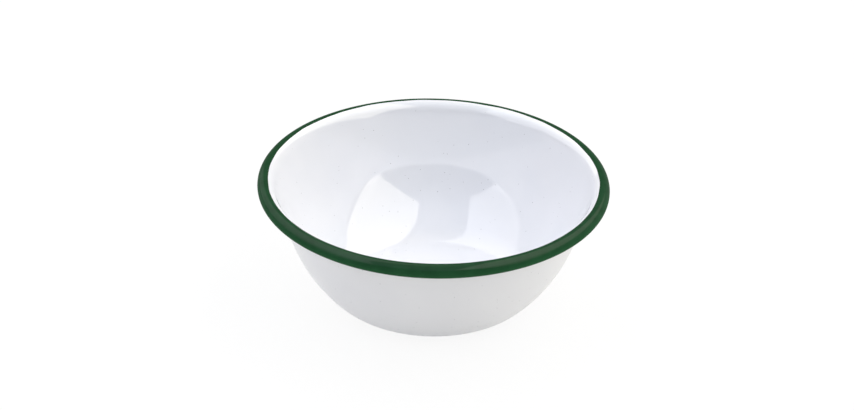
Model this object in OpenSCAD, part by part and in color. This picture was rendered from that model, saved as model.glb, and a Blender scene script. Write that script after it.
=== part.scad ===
// Enamelled basin bowl: one pressing of sheet steel with a rolled rim, under fired glass coats.
// The coats are white inside and outside and dark green on the rim, over a dark ground coat.
// Sizes are in millimetres. The bowl's axis is Z, and it stands on z = 0.

/* [Bowl] */
// Diameter over the rolled rim, coats included
bowl_d = 160; // [130:1:210]
// Height over the rolled rim, coats included
bowl_h = 60; // [46:1:85]
// Diameter of the flat that the bowl stands on
base_d = 70; // [36:1:98]
// Outside radius of the bend between the base and the wall
corner_r = 20; // [4:0.5:40]
// Outside radius of the long curve of the wall
wall_r = 75; // [40:1:240]
// Slope of the straight stretch of wall under the rim, in degrees from level
wall_slope = 70; // [58:0.5:82]

/* [Rolled rim] */
// Radius of the rolled bead over its green coat
bead_r = 3.1; // [2.4:0.1:4.5]
// Radius of the wider curve on the inner side of the crest, over its white coat
crest_r = 4.5; // [3.4:0.1:6]
// Where the wider curve meets the bead, in degrees round the section from its outermost point
crest_end = 100; // [90:1:106]
// Where the green coat starts on the crest, in degrees round the section from its outermost point
green_edge = 114; // [108:1:150]
// Gap between the tucked edge of the roll and the coat on the wall
tuck_gap = 0.3; // [0.1:0.05:1]

/* [Steel and enamel] */
// Thickness of the steel sheet
steel_t = 0.6; // [0.4:0.05:1.2]
// Thickness of the dark ground coat, which is fired on first
ground_t = 0.15; // [0.1:0.01:0.3]
// Thickness of the white coat inside
white_in_t = 0.2; // [0.15:0.01:0.4]
// Thickness of the white coat outside
white_out_t = 0.2; // [0.15:0.01:0.4]
// Thickness of the green coat on the rim
green_t = 0.2; // [0.15:0.01:0.4]

/* [Hidden] */
$fn = 256;
// Largest gap between a curve of the section and its chords
chord_gap = 0.01;

// The section has its radius along X and its height along Y. Every layer is a band between two
// offsets from the steel's inner face, positive towards the inside of the bowl. That face runs over
// the crest of the rim and becomes the outer face of the roll.
outside_t = steel_t + ground_t + white_out_t;
inside_t = ground_t + white_in_t;
rim_t = ground_t + green_t;

// Radii of the steel's inner face
wall_face_r = wall_r - outside_t;
crest_face_r = crest_r - inside_t;
bead_face_r = bead_r - rim_t;

// Centres of the roll's two curves, which share a tangent where the wider one ends
bead_centre = [bowl_d / 2 - bead_r, bowl_h - bead_r];
crest_centre = bead_centre + (bead_face_r - crest_face_r) * aim(crest_end);

// The straight stretch of wall leaves the crest at this angle round the section
wall_normal = 90 + wall_slope;
wall_top = crest_centre + crest_face_r * aim(wall_normal);

// The bend at the base is limited by the wall, which keeps at least a short turn of its long curve
base_r = base_d / 2;
least_turn = 3;
foot_clear = ([base_r, 0] - wall_top) * aim(wall_normal);
corner_room = (wall_r * cos(least_turn) - wall_face_r + foot_clear) / (cos(least_turn) - cos(wall_slope));
bend_r = min(corner_r, corner_room);
corner_face_r = bend_r - outside_t;

// The long curve of the wall touches both the straight stretch and the bend at the base
corner_centre = [base_r, bend_r];
straight_clear = (corner_centre - wall_top) * aim(wall_normal);
wall_turn = acos((wall_face_r - straight_clear) / (wall_face_r - corner_face_r));
corner_stop = wall_slope - wall_turn - 90;
wall_stop = wall_slope - 90;
wall_centre = corner_centre + (corner_face_r - wall_face_r) * aim(corner_stop);

// The roll stops where its green edge is one gap short of the coat on the wall
coat_clear = (wall_top - bead_centre) * aim(wall_normal) - outside_t;
roll_stop = wall_normal + acos((coat_clear - tuck_gap) / bead_r) - 360;

function aim(angle) = [cos(angle), sin(angle)];
function but_last(points) = [for (i = [0 : len(points) - 2]) points[i]];
function turned_round(points) = [for (i = [len(points) - 1 : -1 : 0]) points[i]];

// Arc at a distance outside the steel's curve of radius face_r, with the same steps for every layer
function arc(centre, face_r, outside, from, to) =
    let (steps = ceil(abs(to - from) / (2 * acos(1 - chord_gap / face_r))))
    [for (i = [0 : steps]) centre + (face_r + outside) * aim(from + (to - from) * i / steps)];

// Stretches of the section at an offset, from the centre of the floor outwards
function floor_line(offset) = [[0, outside_t + offset]];
function corner_arc(offset) = arc(corner_centre, corner_face_r, -offset, -90, corner_stop);
function wall_arc(offset) = arc(wall_centre, wall_face_r, -offset, corner_stop, wall_stop);
function white_crest(offset) = arc(crest_centre, crest_face_r, offset, wall_normal, green_edge);
function green_crest(offset) = arc(crest_centre, crest_face_r, offset, green_edge, crest_end);
function roll_arc(offset) = arc(bead_centre, bead_face_r, offset, crest_end, roll_stop);

// Paths made of those stretches
function wall_path(offset) =
    concat(floor_line(offset), but_last(corner_arc(offset)), wall_arc(offset));
function outside_path(offset) =
    concat(wall_path(offset), [wall_top + offset * aim(wall_normal)]);
function inside_path(offset) =
    concat(wall_path(offset), white_crest(offset));
function rim_path(offset) =
    concat(but_last(green_crest(offset)), roll_arc(offset));
function whole_path(offset) =
    concat(but_last(inside_path(offset)), rim_path(offset));

// A layer turned about the axis, between its lower and its upper path
module turned_layer(low, high) {
    rotate_extrude()
        polygon(concat(low, turned_round(high)));
}

// Pressed bowl with its rim rolled outwards into a hollow bead
module steel_shell() {
    color("silver")
        turned_layer(whole_path(-steel_t), whole_path(0));
}

// Dark glass fired on the inside and over the roll
module inner_ground_coat() {
    color("midnightblue")
        turned_layer(whole_path(0), whole_path(ground_t));
}

// Dark glass fired on the outside, up into the roll
module outer_ground_coat() {
    color("midnightblue")
        turned_layer(outside_path(-steel_t - ground_t), outside_path(-steel_t));
}

// White glass inside, from the floor up to the green edge on the crest
module inner_white_coat() {
    color("white")
        turned_layer(inside_path(ground_t), inside_path(inside_t));
}

// White glass outside, with the flat that the bowl stands on
module outer_white_coat() {
    color("white")
        turned_layer(outside_path(-outside_t), outside_path(-steel_t - ground_t));
}

// Green glass on the rim, from the crest round to the tucked edge
module green_rim_coat() {
    color("darkgreen")
        turned_layer(rim_path(ground_t), rim_path(rim_t));
}

steel_shell();
inner_ground_coat();
outer_ground_coat();
inner_white_coat();
outer_white_coat();
green_rim_coat();
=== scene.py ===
# %% [markdown]
# # An enamel basin bowl
# A bowl like this is one pressing of thin steel, with glass fired onto it in layers: a dark ground coat
# that grips the steel, a white coat inside and outside, and a green coat on the rolled rim. The packed
# model has each layer as a solid of its own. Its flat facets would show in a glossy surface, so this
# lesson keeps the hidden layers and makes the three coats that show again, in fine smooth meshes.

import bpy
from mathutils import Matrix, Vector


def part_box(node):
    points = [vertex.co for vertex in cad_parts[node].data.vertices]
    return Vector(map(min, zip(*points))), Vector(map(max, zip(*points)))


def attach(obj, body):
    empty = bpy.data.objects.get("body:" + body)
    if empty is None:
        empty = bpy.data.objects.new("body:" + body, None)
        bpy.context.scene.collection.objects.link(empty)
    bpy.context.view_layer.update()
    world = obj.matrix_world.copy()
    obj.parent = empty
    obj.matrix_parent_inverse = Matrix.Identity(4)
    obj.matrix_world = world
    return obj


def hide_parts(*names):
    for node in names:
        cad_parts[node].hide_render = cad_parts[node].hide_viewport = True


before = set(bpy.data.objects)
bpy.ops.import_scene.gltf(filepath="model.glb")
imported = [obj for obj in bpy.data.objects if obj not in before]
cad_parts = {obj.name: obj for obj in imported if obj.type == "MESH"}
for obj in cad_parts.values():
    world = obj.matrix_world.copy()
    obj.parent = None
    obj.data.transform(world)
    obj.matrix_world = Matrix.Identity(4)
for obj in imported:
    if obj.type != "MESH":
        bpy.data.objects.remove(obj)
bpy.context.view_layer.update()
print("layers:", ", ".join(sorted(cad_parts)))

# %% Tools for the work
import math

import bpy
import numpy as np
from mathutils import Color, Matrix, Vector

scene = bpy.context.scene
scene.view_settings.view_transform = "Standard"
print("Blender", bpy.app.version_string)

# %% [markdown]
# ## The section
# The bowl is turned about its axis, so one section gives its whole shape. On the real bowl the press
# tools set that section: a flat to stand on, a bend, a long curve, a straight stretch of wall, and the
# rim, rolled outwards over a wider crest. It could be traced as a row of points, but arcs that touch
# each other stay true at any fineness, and a highlight shows every kink. So the section is built from
# its radii, and every coat is a distance from one line: the inner face of the steel.

# %% Sizes of the pressing, in metres and degrees
rim_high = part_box("green_rim_coat")[1]
bowl_radius = round(rim_high.x, 4)
bowl_height = round(rim_high.z, 4)
base_radius = 0.035
bend_radius = 0.020
wall_radius = 0.075
wall_slope = 70
bead_radius = 0.0031
crest_radius = 0.0045
# The crest meets the bead here, in degrees round the section from its outermost point
crest_end = 100
tuck_gap = 0.0003
print(f"bowl {2000 * bowl_radius:.0f} mm across, {1000 * bowl_height:.0f} mm high")

# %% Thickness of the layers
steel = 0.0006
ground = 0.00015
enamel = 0.0002
inside = ground + enamel
outside = steel + ground + enamel
print(f"wall {1000 * (inside + outside):.2f} mm thick")


# %% Arcs and lines of the section
def aim(degrees):
    """Directions in the section, for one angle or many: across first, then up."""
    angle = np.radians(degrees)
    return np.stack([np.cos(angle), np.sin(angle)], axis=-1)


def arc(centre, radius, start, stop, pitch):
    """Points about one pitch apart round an arc."""
    steps = math.ceil(radius * math.radians(abs(stop - start)) / pitch)
    return centre + radius * aim(np.linspace(start, stop, steps + 1))


def line(start, stop, pitch):
    """Points about one pitch apart along a straight stretch."""
    steps = math.ceil(math.dist(start, stop) / pitch)
    return np.linspace(start, stop, steps + 1)


def chain(*stretches):
    """Stretches end to end, without the doubled points where they meet."""
    return np.concatenate([stretches[0]] + [stretch[1:] for stretch in stretches[1:]])


print("a level line aims along", aim(0))

# %% Where the arcs touch each other
bead_face = bead_radius - inside
crest_face = crest_radius - inside
bead_centre = np.array([bowl_radius - bead_radius, bowl_height - bead_radius])
crest_centre = bead_centre + (bead_face - crest_face) * aim(crest_end)
wall_normal = 90 + wall_slope
wall_top = crest_centre + crest_face * aim(wall_normal)
bend_face = bend_radius - outside
wall_face = wall_radius - outside
bend_centre = np.array([base_radius, bend_radius])
straight_clear = (bend_centre - wall_top) @ aim(wall_normal)
wall_turn = math.degrees(math.acos((wall_face - straight_clear) / (wall_face - bend_face)))
bend_stop = wall_slope - wall_turn - 90
wall_stop = wall_slope - 90
wall_centre = bend_centre + (bend_face - wall_face) * aim(bend_stop)
tuck_room = (wall_top - bead_centre) @ aim(wall_normal) - outside - tuck_gap
roll_stop = wall_normal + math.degrees(math.acos(tuck_room / bead_radius)) - 360
print(f"bend turns {bend_stop + 90:.1f} degrees, wall {wall_turn:.1f}, roll ends at {roll_stop:.1f}")

# %% One line of the section, at any distance from the steel's inner face
fine_pitch = 0.0007
back_pitch = 0.003


def wall_line(offset, pitch):
    """From the axis out over the floor, round the bend and up to the foot of the crest."""
    middle = np.array([0, outside + offset])
    bend = arc(bend_centre, bend_face - offset, -90, bend_stop, pitch)
    wall = arc(wall_centre, wall_face - offset, bend_stop, wall_stop, pitch)
    top = wall_top + offset * aim(wall_normal)
    return chain(line(middle, bend[0], pitch), bend, wall, line(wall[-1], top, pitch))


def rim_point(angle, offset):
    """On the crest or the bead, at angles round the section from its outermost point."""
    angle = np.asarray(angle, float)
    offset = np.asarray(offset, float)[..., None]
    on_crest = (angle > crest_end)[..., None]
    crest = crest_centre + (crest_face + offset) * aim(angle)
    bead = bead_centre + (bead_face + offset) * aim(angle)
    return np.where(on_crest, crest, bead)


print(f"points every {1000 * fine_pitch} mm where a coat shows, every {1000 * back_pitch} mm behind it")
print(f"inside floor at {1000 * wall_line(inside, back_pitch)[0][1]:.2f} mm")

# %% [markdown]
# ## Turning a section into a skin
# Blender can turn an outline with its Screw modifier or with bmesh's spin, and both give the same
# section all the way round. Fired glass isn't so even: it flows into long low swells, and the painter's
# green edge wanders. So each coat is a grid, with one section for every step round the axis, and each
# section may differ a little. Points on the axis are welded into one, which closes the skin there.

# %% Sections round the axis
steps_round = 360
turn = np.linspace(0, 2 * math.pi, steps_round, endpoint=False)


def round_the_axis(section):
    """Points in space for sections given as radius and height, one section for each step round."""
    radius = section[..., 0]
    along_x = radius * np.cos(turn)[:, None]
    along_y = radius * np.sin(turn)[:, None]
    return np.stack([along_x, along_y, section[..., 1]], axis=-1)


print(f"one section every {360 / steps_round:.0f} degree")

# %% Closing a skin on the axis
import bmesh

weld_distance = 1e-8


def weld_axis(mesh):
    """Merges the points that meet on the axis, and turns all faces outwards."""
    work = bmesh.new()
    work.from_mesh(mesh)
    on_axis = [point for point in work.verts if math.hypot(point.co.x, point.co.y) < weld_distance]
    bmesh.ops.remove_doubles(work, verts=on_axis, dist=weld_distance)
    bmesh.ops.recalc_face_normals(work, faces=work.faces)
    work.to_mesh(mesh)
    work.free()


print(f"points within {1e9 * weld_distance:.0f} nanometres of the axis become one")


# %% Grid to mesh
def turned_skin(name, sections, closed):
    """A smooth mesh from one section per step. An open section starts and ends on the axis."""
    points = round_the_axis(sections)
    around, along = points.shape[:2]
    index = np.arange(around * along).reshape(around, along)
    after = np.roll(index, -1, axis=0)
    last = along if closed else along - 1
    here = np.arange(last)
    beyond = (here + 1) % along
    faces = np.stack([index[:, here], index[:, beyond], after[:, beyond], after[:, here]], axis=-1)
    mesh = bpy.data.meshes.new(name)
    mesh.from_pydata(points.reshape(-1, 3).tolist(), [], faces.reshape(-1, 4).tolist())
    weld_axis(mesh)
    mesh.shade_smooth()
    skin = bpy.data.objects.new(name, mesh)
    scene.collection.objects.link(skin)
    print(f"{name}: {len(mesh.vertices)} points, {len(mesh.polygons)} faces")
    return skin


print("a skin has", steps_round, "strips of faces")

# %% Swells in the fired glass
longest_swell = 0.046
swell_count = 9
swell_ratio = 0.78
# The steepest slope of each wave
swell_slope = 0.0022
golden_turn = math.pi * (3 - math.sqrt(5))


def swell(points):
    """Height of the glass above its even thickness: low waves that cross in all directions."""
    total = np.zeros(points.shape[:-1])
    for wave in range(swell_count):
        length = longest_swell * swell_ratio**wave
        rise = 1 - 2 * (wave + 0.5) / swell_count
        level = math.sqrt(1 - rise * rise)
        compass = golden_turn * wave
        heading = np.array([level * math.cos(compass), level * math.sin(compass), rise])
        phase = golden_turn * wave * wave
        height = swell_slope * length / (2 * math.pi)
        total += height * np.sin(2 * math.pi * (points @ heading) / length + phase)
    return total


shortest_swell = longest_swell * swell_ratio ** (swell_count - 1)
print(f"swells from {1000 * longest_swell:.0f} to {1000 * shortest_swell:.0f} mm long")


# %% A coat that shows on one side
def section_normals(path):
    """Directions square to a path of the section, to the left of its run."""
    run = np.gradient(path, axis=0)
    run /= np.linalg.norm(run, axis=1, keepdims=True)
    return np.stack([-run[:, 1], run[:, 0]], axis=1)


def swollen(path, share):
    """The path repeated round the axis, raised and lowered by a share of the glass's swells."""
    even = np.broadcast_to(path, (steps_round, *path.shape))
    height = swell(round_the_axis(even)) * share
    return even + height[..., None] * section_normals(path)


def with_back(face, back):
    """A closed band: the face that shows, then the hidden back, run the other way."""
    hidden = np.broadcast_to(back[::-1], (steps_round, *back.shape))
    return np.concatenate([face, hidden], axis=1)


level_path = np.array([[0, 0], [1, 0]])
print("a level path outwards is raised along", section_normals(level_path)[0])

# %% [markdown]
# ## The white coat inside
# The white glass runs from the middle of the floor up over the crest, and a little way in under the
# green. A plain offset of the section would nearly do, but two things would look wrong. The crest would
# start all at once, while glass eases from the wall into it and is a little thicker there, which softens
# the lower edge of the bright band under the rim. And without swells, the two lamps' reflections have
# edges as straight as on plastic.

# %% White coat inside, as a plain offset
white_lap_stop = 96
crest_pitch = 0.0002
back_skip = 4
crest_steps = round(crest_radius * math.radians(wall_normal - white_lap_stop) / crest_pitch)
crest_angles = np.linspace(wall_normal, white_lap_stop, crest_steps)
lap_depth = enamel * np.clip((crest_end - crest_angles) / (crest_end - white_lap_stop), 0, 1)
inner_face = chain(wall_line(inside, fine_pitch), rim_point(crest_angles, inside - lap_depth))
inner_back = chain(wall_line(ground, back_pitch), rim_point(crest_angles[::back_skip], ground))
print(f"{len(inner_face)} points along the face, {len(inner_back)} along the back")

# %% Soft foot of the crest: its curvature rises evenly over twice the reach
foot_reach = 0.0024
foot_fade = 0.030
steps_along = np.linalg.norm(np.diff(inner_face, axis=0), axis=1)
run_along = np.concatenate([[0], np.cumsum(steps_along)])
from_foot = run_along - run_along[-crest_steps]
near_foot = np.clip(from_foot, -foot_reach, foot_reach)
# An even rise of the curvature, summed twice along the run, gives these cubes
above_foot = (foot_reach - near_foot) ** 3
below_foot = 2 * foot_reach**3 - (foot_reach + near_foot) ** 3
fill = np.where(near_foot > 0, above_foot, below_foot) / (12 * foot_reach * crest_radius)
down_the_wall = np.clip(-(from_foot + foot_reach) / foot_fade, 0, 1)
fill *= (1 + np.cos(math.pi * down_the_wall)) / 2
inner_face += fill[:, None] * section_normals(inner_face)
print(f"glass up to {1000 * fill.max():.2f} mm thicker at the foot of the crest")

# %% Swells that die out in the middle of the floor and on the crest
swell_stop = 128
swell_share = np.clip(inner_face[:, 0] / base_radius, 0, 1)
swell_share[-crest_steps:] = np.clip((crest_angles - swell_stop) / (wall_normal - swell_stop), 0, 1)
inner_sections = with_back(swollen(inner_face, swell_share), inner_back)
inner_skin = turned_skin("inner_white_enamel", inner_sections, closed=False)

# %% [markdown]
# ## The white coat outside
# Outside, the same glass covers the flat that the bowl stands on, the bend and the wall, and ends out of
# sight inside the rolled rim. The flat keeps no swells, because it is what touches the table. In the
# kiln the bowl stands on three points, and each leaves a small pit in the glass. A bump in the finish
# could show a pit, but a dent in the mesh also holds in a close view from below.

# %% White coat outside
flat_fade = 0.006
outer_face = wall_line(-outside, fine_pitch)
outer_back = wall_line(-steel - ground, back_pitch)
outer_sections = swollen(outer_face, np.clip(outer_face[:, 1] / flat_fade, 0, 1))
print(f"{len(outer_face)} points along the face, {len(outer_back)} along the back")

# %% Three pits under the base
pin_circle = 0.024
pin_pit_radius = 0.0009
pin_pit_depth = 0.00012
pin_angles = np.radians([90, 210, 330])
pins = [(pin_circle * math.cos(angle), pin_circle * math.sin(angle), 0) for angle in pin_angles]
outer_points = round_the_axis(outer_sections)
for pin in pins:
    reach = np.linalg.norm(outer_points - np.array(pin), axis=-1) / pin_pit_radius
    outer_sections[..., 1] += pin_pit_depth * np.clip(1 - reach**2, 0, 1)
outer_skin = turned_skin("outer_white_enamel", with_back(outer_sections, outer_back), closed=False)

# %% [markdown]
# ## The green rim
# The green is brushed or dipped on last and laps over the white, so it ends in a low round lip, and its
# edge is a hand's work: lower inside the bowl at the front and sides than at the back, with small
# wanderings. It covers the rolled bead, wraps the cut edge of the sheet and stops just inside the roll.
# A texture could paint such an edge, but the lip catches the light, so the edge is modelled.

# %% Where the green ends, round the bowl
edge_mean = 112.9
edge_front_back = -6.75
edge_sides = 2.6
edge_wander = 0.9
wander_waves = {7: 0.6, 13: 0.8, 22: 0.7, 37: 0.5}
edge = edge_mean + edge_front_back * np.sin(turn) + edge_sides * np.cos(2 * turn)
for waves, share in wander_waves.items():
    edge += edge_wander * share * np.sin(waves * turn + golden_turn * waves * waves)
print(f"green edge from {edge.min():.0f} to {edge.max():.0f} degrees")

# %% Angles of the green's outer face, from its lip to the tucked edge
lip_run = 0.0004
lip_steps = 10
roll_steps = 90
lip_sweep = math.degrees(lip_run / crest_radius)
lip_share = (1 - np.cos(np.linspace(0, math.pi, lip_steps))) / 2
lip_angles = edge[:, None] - lip_sweep * lip_share
lip_end = lip_angles[:, -1:]
roll_angles = lip_end + (roll_stop - lip_end) * np.linspace(0, 1, roll_steps)[1:]
green_angles = np.concatenate([lip_angles, roll_angles], axis=1)
print(f"lip {1000 * lip_run:.1f} mm wide, then {roll_steps - 1} steps round the roll")

# %% Height of the green's outer face, with its round lip
lip_height = 0.00007
lip_fade_stop = 95
edge_sink = 0.00001
from_edge = np.clip((edge[:, None] - green_angles) / lip_sweep, 0, 1)
shoulder = np.sqrt(1 - (1 - from_edge) ** 2)
lip_fade = np.clip((green_angles - lip_fade_stop) / (edge[:, None] - lip_fade_stop), 0, 1)
sunk_face = inside - edge_sink * (1 - from_edge)
green_face = rim_point(green_angles, sunk_face + lip_height * shoulder * lip_fade)
print(f"lip {1000 * lip_height:.2f} mm high")

# %% The glass round the cut edge of the sheet
nose_run = 0.0002
nose_steps = 9
wrap_back = 0.0001
wrap_sweep = 12
behind_steel = -steel - wrap_back
nose_turn = np.linspace(0, math.pi, nose_steps)[1:]
nose_angles = roll_stop - np.degrees(nose_run * np.sin(nose_turn) / bead_radius)
nose_offsets = (inside + behind_steel) / 2 + (inside - behind_steel) / 2 * np.cos(nose_turn)
# Along behind the sheet, then back against it to the cut edge, and across that edge
wrap_shares = np.array([0.5, 1, 1, 0.5, 0, 0])
wrap_angles = roll_stop + wrap_sweep * wrap_shares
wrap_offsets = np.array([behind_steel, behind_steel, -steel, -steel, -steel, ground])
tuck = np.concatenate([rim_point(nose_angles, nose_offsets), rim_point(wrap_angles, wrap_offsets)])
print(f"the green wraps {wrap_sweep} degrees behind the edge")

# %% The green's hidden back, and the whole rim
lap_overlap = 0.00003
back_share = np.linspace(0, 1, roll_steps // 2)[1:]
back_angles = roll_stop + (edge[:, None] - roll_stop) * back_share
under_lap = np.clip((back_angles - white_lap_stop) / (crest_end - white_lap_stop), 0, 1)
green_back = rim_point(back_angles, ground + (enamel - lap_overlap) * under_lap)
tuck_round = np.broadcast_to(tuck, (steps_round, *tuck.shape))
green_sections = np.concatenate([green_face, tuck_round, green_back], axis=1)
green_skin = turned_skin("green_rim_enamel", green_sections, closed=True)

# %% [markdown]
# ## Who rides on what
# The bowl has no moving parts, so every piece rides on its one body. Each new coat stands for the solid
# that it follows, and that solid is hidden. A coat could also be laid over its
# solid, but then two surfaces would lie almost in one place and show through each other.

# %% Put the coats in the frame
for skin, slot, node in (
    (inner_skin, "white_enamel", "inner_white_coat"),
    (outer_skin, "white_enamel", "outer_white_coat"),
    (green_skin, "green_enamel", "green_rim_coat"),
):
    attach(skin, "root")
    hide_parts(node)
    print(f"{skin.name} stands for {node}")

# %% [markdown]
# ## Writing finishes as sums
# A finish in Blender is a graph of nodes. Drawn by hand it is easy to read, but written in code it turns
# into pages of links. This small class wraps one socket, so that a mask can be written as a sum:
# `1 - mask` adds the Math node by itself. Any other node comes from its one method.


# %% A socket that can be added and multiplied
class Wire:
    """An output of a node, with arithmetic on it."""

    def __init__(self, tree, socket=None):
        self.tree = tree
        self.socket = socket

    def node(self, kind, settings=None, inputs=None, output=0):
        """Adds a node: its settings first, then the values or wires of its inputs."""
        made = self.tree.nodes.new(kind)
        for name, value in (settings or {}).items():
            setattr(made, name, value)
        for name, value in (inputs or {}).items():
            if isinstance(value, Wire):
                self.tree.links.new(value.socket, made.inputs[name])
            else:
                made.inputs[name].default_value = value
        return Wire(self.tree, made.outputs[output] if made.outputs else None)

    def __add__(self, other):
        return self.node("ShaderNodeMath", {"operation": "ADD"}, {0: self, 1: other})

    def __radd__(self, other):
        return self + other

    def __sub__(self, other):
        return self.node("ShaderNodeMath", {"operation": "SUBTRACT"}, {0: self, 1: other})

    def __rsub__(self, other):
        return self.node("ShaderNodeMath", {"operation": "SUBTRACT"}, {0: other, 1: self})

    def __mul__(self, other):
        return self.node("ShaderNodeMath", {"operation": "MULTIPLY"}, {0: self, 1: other})

    def __rmul__(self, other):
        return self * other

    def __pow__(self, power):
        return self.node("ShaderNodeMath", {"operation": "POWER"}, {0: self, 1: power})

    def __rpow__(self, base):
        return self.node("ShaderNodeMath", {"operation": "POWER"}, {0: base, 1: self})


print("operators: + - * **")


# %% Colours and masks
def colour(red, green, blue):
    """A colour as a screen gives it, 0 to 255, in Blender's linear light."""
    on_screen = Color((red / 255, green / 255, blue / 255))
    return (*on_screen.from_srgb_to_scene_linear(), 1)


def blend(share, plain, other):
    """One colour that turns into another as the share goes from 0 to 1."""
    inputs = {0: share, 6: plain, 7: other}
    return share.node("ShaderNodeMix", {"data_type": "RGBA"}, inputs, output=2)


def between(value, low, high):
    """0 below low, 1 above high, with a soft step from one to the other."""
    settings = {"interpolation_type": "SMOOTHSTEP"}
    return value.node("ShaderNodeMapRange", settings, {"Value": value, "From Min": low, "From Max": high})


print("grey 128 on screen is", round(colour(128, 128, 128)[0], 3), "in linear light")

# %% Patterns
# The even part of a dot, as a share of its radius
dot_core = 0.6


def noise(place, size, detail=2.0):
    """Cloudy noise with patches of about this size in metres."""
    return place.node("ShaderNodeTexNoise", None, {"Vector": place, "Scale": 1 / size, "Detail": detail})


def clouds(place, size, softness, detail=2.0):
    """Patches of 0 and 1, with a change between them that is wider the softer they are."""
    return between(noise(place, size, detail), 0.5 - softness / 2, 0.5 + softness / 2)


def dots(place, spacing, radius):
    """Small round spots with soft edges, strewn at random. Their size varies, as the surface cuts them."""
    inputs = {"Vector": place, "Scale": 1 / spacing}
    distance = place.node("ShaderNodeTexVoronoi", {"feature": "F1"}, inputs, output="Distance")
    return 1 - between(distance, dot_core * radius / spacing, radius / spacing)


def orange_peel(place, size, depth):
    """The faint dimples of fired glass, as a bump."""
    height = noise(place, size)
    return place.node("ShaderNodeBump", None, {"Height": height, "Strength": 1.0, "Distance": depth})


print("patterns: noise, clouds, dots, orange peel")


# %% Start and end of a finish
def new_finish(name):
    """An empty material, and the place on the bowl that its patterns hang on."""
    material = bpy.data.materials.new(name)
    material.use_nodes = True
    material.node_tree.nodes.clear()
    place = Wire(material.node_tree).node("ShaderNodeTexCoord", output="Object")
    return material, place


def glaze(place, inputs):
    """Ends a finish: one shader with these inputs, wired to the output."""
    shader = place.node("ShaderNodeBsdfPrincipled", None, inputs)
    place.node("ShaderNodeOutputMaterial", None, {"Surface": shader})


print("patterns are sized in metres on the bowl")

# %% [markdown]
# ## White enamel
# Enamel is white glass: the colour sits under a smooth clear surface, which mirrors lamps sharply at a
# few per cent. What tells it from plastic is small: tiny dark specks and pinholes where the ground coat
# shows through, a faint orange peel, and a tone that turns a little cooler where the coat is thin. One
# finish could do for both sides, but the inside shines more and is cooler in tone, and outside the
# three pits under the base bare the dark ground coat. So one function makes both.

# %% Values of the white enamel
speck_grey = colour(96, 97, 102)
speck_spacing = 0.0033
speck_radius = 0.00019
speck_dullness = 0.3
ground_blue = colour(22, 26, 40)
bare_core = 0.5
bare_edge = 0.8
thin_patch = 0.05
thin_softness = 0.3
gloss_patch = 0.012
gloss_change = 0.03
peel_size = 0.0016
peel_depth = 0.000003
print(f"specks {2e6 * speck_radius:.0f} micrometres across")


# %% White enamel
def white_enamel(name, full_white, thin_white, roughness, ior, bare_spots):
    material, place = new_finish(name)
    specks = dots(place, speck_spacing, speck_radius)
    tone = blend(clouds(place, thin_patch, thin_softness), full_white, thin_white)
    tone = blend(specks, tone, speck_grey)
    for spot in bare_spots:
        inputs = {0: place, 1: spot}
        apart = place.node("ShaderNodeVectorMath", {"operation": "DISTANCE"}, inputs, output="Value")
        bare = 1 - between(apart, bare_core * pin_pit_radius, bare_edge * pin_pit_radius)
        tone = blend(bare, tone, ground_blue)
    dullness = roughness + gloss_change * noise(place, gloss_patch)
    glaze(place, {
        "Base Color": tone,
        "Roughness": dullness + speck_dullness * specks,
        "IOR": ior,
        "Normal": orange_peel(place, peel_size, peel_depth),
    })
    return material


print("finish for both white coats")

# %% White inside and outside
inside_whites = colour(231, 232, 237), colour(227, 229, 235)
inside_roughness = 0.03
inside_ior = 1.85
outside_whites = colour(230, 230, 231), colour(226, 226, 228)
outside_roughness = 0.3
outside_ior = 1.55
bright_white = white_enamel("white_enamel_inside", *inside_whites, inside_roughness, inside_ior, [])
soft_white = white_enamel("white_enamel_outside", *outside_whites, outside_roughness, outside_ior, pins)
inner_skin.data.materials.append(bright_white)
outer_skin.data.materials.append(soft_white)
print(f"{bright_white.name} at {inside_roughness}, {soft_white.name} at {outside_roughness} roughness")

# %% [markdown]
# ## Green enamel
# The rim's colour is a dark bottle green, the same kind of glass with another pigment. It pools on top
# of the roll, where it is thick, deep in tone and glossy. On the outer side it is thin and rubbed dull
# by hands, and its colour is painted lighter there: partly thin glass, partly a painted reflection of
# the white floor that this side faces. A shader's plain glass surface would mirror the white floor so
# strongly at the bowl's sides that the green turns grey there. So the body is satin, and the shine is a
# coat that mirrors about as much head-on as at a flat angle. Its weight follows the angle round the roll.


# %% Angle round the roll
def coordinates(place):
    """A place or a direction, split into its three numbers."""
    return [place.node("ShaderNodeSeparateXYZ", None, {0: place}, output=axis) for axis in "XYZ"]


def angle_round_roll(place):
    """Angle round the section of the roll, in radians from its outermost point."""
    along_x, along_y, height = coordinates(place)
    from_axis = (along_x * along_x + along_y * along_y) ** 0.5
    inputs = {0: height - bead_centre[1], 1: from_axis - bead_centre[0]}
    return place.node("ShaderNodeMath", {"operation": "ARCTAN2"}, inputs)


print("roll's middle in mm:", [round(1000 * part, 2) for part in bead_centre])

# %% Values of the green enamel
# The lighter green on the outer underside of the roll is partly thin glass, partly a painted reflection of
# the white floor.
thick_green = colour(21, 58, 33)
thin_green_and_painted_floor_light = colour(39, 83, 52)
thin_and_painted_light_below = -30
thick_above = 70
pool_and_painted_light_share = 0.75
mottle_size = 0.006
mottle_softness = 0.4
satin = 0.36
satin_change = 0.12
satin_patch = 0.008
body_mirror = 0.01
dull_below = 8
glossy_above = 50
gloss_weight = 0.065
gloss_roughness = 0.08
gloss_ior = 3.0
rim_peel_size = 0.0012
rim_peel_depth = 0.000008
print(f"glossy above {glossy_above} degrees, dull below {dull_below}")


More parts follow.
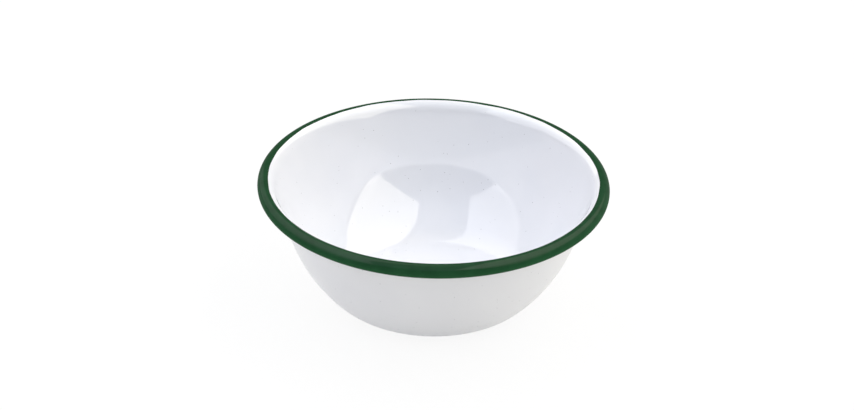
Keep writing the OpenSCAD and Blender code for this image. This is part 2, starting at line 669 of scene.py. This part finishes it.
# %% Green enamel
def green_enamel(name):
    material, place = new_finish(name)
    angle = angle_round_roll(place)
    # Darker on top, lighter towards the underside that faces the floor: partly thin glass, partly a
    # painted reflection of the floor.
    pool_and_painted_light = between(angle, math.radians(thin_and_painted_light_below), math.radians(thick_above))
    mottle = clouds(place, mottle_size, mottle_softness, detail=4.0)
    thickness_and_painted_light = pool_and_painted_light_share * pool_and_painted_light + (1 - pool_and_painted_light_share) * mottle
    on_top = between(angle, math.radians(dull_below), math.radians(glossy_above))
    glaze(place, {
        "Base Color": blend(thickness_and_painted_light, thin_green_and_painted_floor_light, thick_green),
        "Roughness": satin + satin_change * noise(place, satin_patch),
        "Specular IOR Level": body_mirror,
        "Coat Weight": gloss_weight * on_top,
        "Coat Roughness": gloss_roughness,
        "Coat IOR": gloss_ior,
        "Normal": orange_peel(place, rim_peel_size, rim_peel_depth),
    })
    return material


green_skin.data.materials.append(green_enamel("green_enamel_rim"))
print("green enamel on the rim")

# %% [markdown]
# ## The layers that don't show
# Under the coats that show lie the steel and its ground coat. Nobody sees them on a whole bowl, and a
# plain grey would do. But a chip would bare them, so they get their own finishes: rolled sheet with its
# fine grain, and a blue-black glass full of bubbles.

# %% Steel
steel_grey = colour(168, 168, 166)
steel_dark = colour(140, 141, 142)
grain_length = 0.004
grain_stretch = (1.0, 12.0, 1.0)
steel_roughness = 0.3
grain_roughness = 0.2


def rolled_steel(name):
    material, place = new_finish(name)
    stretched = place.node("ShaderNodeMapping", None, {"Vector": place, "Scale": grain_stretch})
    grain = noise(stretched, grain_length, detail=4.0)
    glaze(place, {
        "Base Color": blend(grain, steel_dark, steel_grey),
        "Metallic": 1.0,
        "Roughness": steel_roughness + grain_roughness * grain,
    })
    return material


print(f"grain about {1000 * grain_length:.0f} mm long")

# %% Ground coat
bubble_blue = colour(40, 46, 64)
bubble_spacing = 0.0012
bubble_radius = 0.0003
ground_roughness = 0.15
bubble_dullness = 0.1
ground_ior = 1.55


def ground_glass(name):
    material, place = new_finish(name)
    bubbles = dots(place, bubble_spacing, bubble_radius)
    glaze(place, {
        "Base Color": blend(bubbles, ground_blue, bubble_blue),
        "Roughness": ground_roughness + bubble_dullness * bubbles,
        "IOR": ground_ior,
    })
    return material


print(f"bubbles {2000 * bubble_radius:.1f} mm across")

# %% Finishes of the hidden layers
hidden_finishes = {
    "steel_shell": rolled_steel("rolled_steel"),
    "inner_ground_coat": ground_glass("ground_glass_inside"),
    "outer_ground_coat": ground_glass("ground_glass_outside"),
}
for node, material in hidden_finishes.items():
    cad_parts[node].data.materials.clear()
    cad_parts[node].data.materials.append(material)
    print(f"{node}: {material.name}")

# %% [markdown]
# ## Floor and background
# The bowl stands on a white sweep. A real white floor never looks quite white under lamps that light the
# bowl plainly, and more light would wash out the bowl. So what the camera and the reflections see of it
# is mostly its own glow, with a strength of 1 for white. The rest is lit like any floor, and so it keeps
# the bowl's soft shadow.

# %% Finish of the floor
floor_white = (0.94, 0.94, 0.94, 1)
pure_white = (1, 1, 1, 1)
floor_glow = 0.9


def seen_directly(place):
    """1 for what the camera, a mirror or glass shows, 0 for light that only spreads."""
    rays = ("Is Camera Ray", "Is Glossy Ray", "Is Transmission Ray")
    camera_ray, mirror_ray, glass_ray = [place.node("ShaderNodeLightPath", output=ray) for ray in rays]
    inputs = {0: camera_ray + mirror_ray + glass_ray, 1: 1.0}
    return place.node("ShaderNodeMath", {"operation": "MINIMUM"}, inputs)


def white_sweep(name):
    material, place = new_finish(name)
    lit = place.node("ShaderNodeBsdfDiffuse", None, {"Color": floor_white})
    glow = place.node("ShaderNodeEmission", None, {"Color": pure_white, "Strength": 1.0})
    share = floor_glow * seen_directly(place)
    mixed = place.node("ShaderNodeMixShader", None, {0: share, 1: lit, 2: glow})
    place.node("ShaderNodeOutputMaterial", None, {"Surface": mixed})
    return material


print(f"floor glows at {floor_glow} of white")

# %% Floor
floor_radius = 3.0
floor_drop = 0.0002
floor_steps = 64
floor_turn = np.linspace(0, 2 * math.pi, floor_steps, endpoint=False)
floor_ring = [(floor_radius * math.cos(angle), floor_radius * math.sin(angle), -floor_drop)
              for angle in floor_turn]
floor_mesh = bpy.data.meshes.new("floor")
floor_mesh.from_pydata(floor_ring, [], [list(range(floor_steps))])
floor_mesh.materials.append(white_sweep("white_sweep"))
floor = bpy.data.objects.new("floor", floor_mesh)
scene.collection.objects.link(floor)
print(f"floor {2 * floor_radius:.0f} m across")

# %% [markdown]
# ## The room
# Glass shows the room round it, and a bowl shows most of it twice. An even grey world would do for a
# matt object, but here it makes the wall inside the bowl look flat. So the world is a plain room: dim
# behind the camera, a bright wall at the back on the right, and a ceiling that is cooler in front. The
# camera sees only white, and mirrors see the white sweep as a band at the horizon, which stands a little
# lower in front than at the sides and the back.

# %% Directions in the room
world = bpy.data.worlds.new("studio")
world.use_nodes = True
world.node_tree.nodes.clear()
scene.world = world
studio = Wire(world.node_tree)
across, deep, up = coordinates(studio.node("ShaderNodeTexCoord", output="Generated"))
# Each part of a direction runs from -1 to 1: across to the right, deep to the back, up to the ceiling
wall_blend = 0.5
ceiling_start = 0.4
ceiling_full = 0.8
to_right = between(across, -wall_blend, wall_blend)
to_back = between(deep, -wall_blend, wall_blend)
overhead = between(up, ceiling_start, ceiling_full)
print("the room has a front, a back, two sides and a ceiling")

# %% Walls and ceiling
dim_wall = 0.13
bright_wall = 0.48
ceiling = 0.67
cool_white = (0.92, 1.0, 1.18, 1)
walls = dim_wall + (bright_wall - dim_wall) * to_back * to_right
room = walls + overhead * (ceiling - walls)
room_tint = blend(to_back, cool_white, pure_white)
tint_and_level = {"Vector": room_tint, "Scale": room}
room_colour = studio.node("ShaderNodeVectorMath", {"operation": "SCALE"}, tint_and_level)
print(f"walls {dim_wall} to {bright_wall}, ceiling {ceiling}")

# %% White sweep at the horizon
mirrored_white = 0.52
horizon_start = 0.2
horizon_stop = 0.24
side_rise = 0.1
front_end = -0.75
side_start = -0.55
above_sweep = up - side_rise * between(deep, front_end, side_start)
horizon = 1 - between(above_sweep, horizon_start, horizon_stop)
in_camera = studio.node("ShaderNodeLightPath", output="Is Camera Ray")
in_mirrors = mirrored_white * seen_directly(studio) * horizon
white_share = studio.node("ShaderNodeMath", {"operation": "MAXIMUM"}, {0: in_camera, 1: in_mirrors})
room_light = studio.node("ShaderNodeBackground", None, {"Color": room_colour, "Strength": 1.0})
white_light = studio.node("ShaderNodeBackground", None, {"Color": pure_white, "Strength": 1.0})
sky = studio.node("ShaderNodeMixShader", None, {0: white_share, 1: room_light, 2: white_light})
studio.node("ShaderNodeOutputWorld", None, {"Surface": sky})
print(f"mirrors see the sweep at {mirrored_white} of white")

# %% [markdown]
# ## Lamps
# Two large softboxes hang over the bowl, one on each side, and both show in the glass: the brighter one
# on the right is mirrored on the left of the floor, and the other way round. Small lamps would light the
# bowl too, but as points in the glass. The softboxes' places come from their reflections. A lamp's power
# is worked out from how bright its face is, because that is what a reflection shows.


# %% Softboxes
def placed(position, face_x, face_y, face_z):
    """A matrix that puts a thing at a position and turns it to three directions."""
    return Matrix.Translation(position) @ Matrix((face_x, face_y, face_z)).transposed().to_4x4()


def softbox(name, centre, facing, spin, size, brightness, tint):
    """A lamp with a flat bright face: where its middle is, what lies square to it, and its turn."""
    out = Vector(facing).normalized()
    inward = (Vector((0, 1, 0)) - out * out.y).normalized()
    turned = Matrix.Rotation(math.radians(spin), 3, out)
    lamp = bpy.data.lights.new(name, "AREA")
    lamp.shape = "RECTANGLE"
    lamp.size, lamp.size_y = size
    lamp.energy = brightness * math.pi * size[0] * size[1]
    lamp.color = tint
    box = bpy.data.objects.new(name, lamp)
    box.matrix_world = placed(centre, turned @ inward.cross(out), turned @ inward, out)
    box.visible_camera = False
    scene.collection.objects.link(box)
    print(f"{name}: face brightness {brightness}, {lamp.energy:.1f} W")


softbox(
    "right_softbox", centre=(0.441, 0.16, 0.644), facing=(0.685, -0.104, 0.721), spin=9,
    size=(0.73, 1.745), brightness=1.72, tint=(1, 0.95, 0.82),
)
softbox(
    "left_softbox", centre=(-0.774, -0.272, 0.64), facing=(-0.48, 0.42, 0.77), spin=-18,
    size=(0.845, 2.28), brightness=1.26, tint=(1, 0.99, 1),
)

# %% [markdown]
# ## Camera
# The view is a long lens from nearly a metre, about thirty degrees above the table, and the camera is
# tipped a little to one side. It could be set by eye, but the rim gives it away: how round its ellipse
# is gives the height, and how much larger its near side looks than its far side gives the distance.

# %% Where the camera stands
camera_distance = 0.9228
camera_elevation = 29.32
camera_roll = 1.41
height_angle = math.radians(camera_elevation)
roll_angle = math.radians(camera_roll)
back = Vector((0, -math.cos(height_angle), math.sin(height_angle)))
right = Vector((1, 0, 0))
above = back.cross(right)
tipped_right = math.cos(roll_angle) * right + math.sin(roll_angle) * above
tipped_up = math.cos(roll_angle) * above - math.sin(roll_angle) * right
rim_middle = Vector((0, 0, bead_centre[1]))
stand = rim_middle + camera_distance * back
print("camera at", [round(part, 3) for part in stand])

# %% Where the camera looks
picture_width = 854
picture_height = 410
rim_centre_pixel = (433.67, 182.04)
focal_pixels = 2028.4
per_pixel = camera_distance / focal_pixels
off_centre = (rim_centre_pixel[0] - picture_width / 2, picture_height / 2 - rim_centre_pixel[1])
aim_point = rim_middle - per_pixel * (off_centre[0] * tipped_right + off_centre[1] * tipped_up)
look_back = (stand - aim_point).normalized()
look_right = tipped_up.cross(look_back).normalized()
look_up = look_back.cross(look_right)
print("camera looks at", [round(part, 3) for part in aim_point])

# %% Camera
sensor_width = 36
camera_data = bpy.data.cameras.new("camera")
camera_data.sensor_width = sensor_width
camera_data.lens = focal_pixels * sensor_width / picture_width
camera = bpy.data.objects.new("camera", camera_data)
camera.matrix_world = placed(stand, look_right, look_up, look_back)
scene.collection.objects.link(camera)
scene.camera = camera
print(f"lens {camera_data.lens:.1f} mm, {camera_distance:.2f} m from the rim")

# %% [markdown]
# ## Last step
# The dressed bowl has to keep the size of the solids. The last cell brings the scene up to date.

# %% Bring the scene up to date
bpy.context.view_layer.update()
